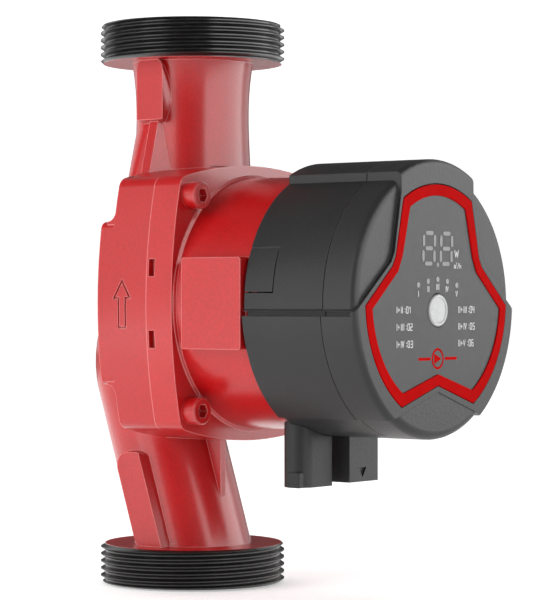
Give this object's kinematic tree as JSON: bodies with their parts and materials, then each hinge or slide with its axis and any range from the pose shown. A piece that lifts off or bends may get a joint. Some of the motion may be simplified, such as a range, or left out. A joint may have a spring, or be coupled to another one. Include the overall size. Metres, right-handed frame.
{
  "type": "circulator pump",
  "caption": "Inline wet-rotor circulator pump: red cast body with threaded ports in line, red motor barrel and a round grey control head with display, button and sockets.",
  "frame": {"origin": "centre of the inlet port's sealing face, the bottom one; the flow axis crosses the motor axis at half the port-to-port length", "axes": "+Z along the flow axis from the inlet to the outlet, -Y along the motor axis towards the control panel, +X to the right when facing the panel"},
  "size_m": [0.0848, 0.1327, 0.18],
  "materials": {
    "red_paint": "semi-gloss red paint over a cast surface, bare dark iron on the threads",
    "red_fastener": "screws painted over together with the housing",
    "motor_red": "semi-gloss red paint over die-cast aluminium",
    "shell_grey": "dark grey fine-textured moulding",
    "cap_grey": "dark grey satin moulding",
    "label_grey": "grey printed film",
    "trim_red": "bright red moulded line",
    "button_white": "pale translucent push button",
    "display_bar": "grey display bars, unlit",
    "light_guide": "clear light guides, unlit",
    "display_body": "black display block",
    "stainless": "stainless sheet",
    "bearing_carbon": "ground carbon or ceramic bush",
    "shaft_ceramic": "ground ceramic shaft",
    "seal_rubber": "black rubber seal",
    "impeller_plastic": "glass-filled black plastic",
    "magnet": "ferrite magnet",
    "core_steel": "stacked electrical steel",
    "copper": "enamelled copper wire",
    "bobbin_white": "natural plastic bobbins",
    "board_green": "solder-masked board",
    "zinc_screw": "zinc-plated screws",
    "black_part": "black electronic parts",
    "socket_black": "black moulded socket",
    "socket_grey": "dark moulded socket",
    "contact_tin": "plated contacts",
    "capacitor_sleeve": "sleeved can",
    "ferrite": "wound core",
    "heat_sink_alu": "extruded aluminium"
  },
  "bodies": {
    "pump": {"pump_housing": "red_paint", "neck_ring": "stainless", "housing_seal": "seal_rubber", "bearing_plate": "stainless", "front_bearing": "bearing_carbon", "rotor_can": "stainless", "rear_bearing": "bearing_carbon", "can_seal": "seal_rubber", "stator_housing": "motor_red", "flange_screws": "red_fastener", "stator_core": "core_steel", "coil_bobbins": "bobbin_white", "stator_coils": "copper", "head_rear_shell": "shell_grey", "head_seal": "seal_rubber", "head_screws": "zinc_screw", "mains_socket": "socket_black", "mains_pins": "contact_tin", "signal_socket": "socket_grey", "signal_pins": "contact_tin", "head_front_cap": "cap_grey", "red_trim": "trim_red", "display_segments": "display_bar", "panel_overlay": "label_grey", "light_guides": "light_guide", "mode_switch": "black_part", "display_board": "board_green", "display_board_screws": "zinc_screw", "display_module": "display_body", "status_leds": "light_guide", "power_board": "board_green", "power_board_screws": "zinc_screw", "capacitor": "capacitor_sleeve", "filter_choke": "ferrite", "power_module": "black_part", "heat_sink": "heat_sink_alu", "board_header": "black_part", "phase_pins": "contact_tin"},
    "rotor": {"shaft": "shaft_ceramic", "rotor_magnet": "magnet", "rotor_sleeve": "stainless", "thrust_ring": "bearing_carbon", "thrust_cushion": "seal_rubber", "impeller": "impeller_plastic", "impeller_cover": "impeller_plastic"},
    "button": {"mode_button": "button_white", "switch_plunger": "black_part"}
  },
  "joints": [
    {"name": "rotor_spin", "type": "hinge", "parent": "pump", "child": "rotor", "pos_m": [0, 0, 0.09], "axis": [0, -1, 0], "continuous": true},
    {"name": "button_press", "type": "slide", "parent": "pump", "child": "button", "axis": [0, 1, 0], "range_m": [0, 0.0006], "stiffness_N_per_m": 2500}
  ]
}
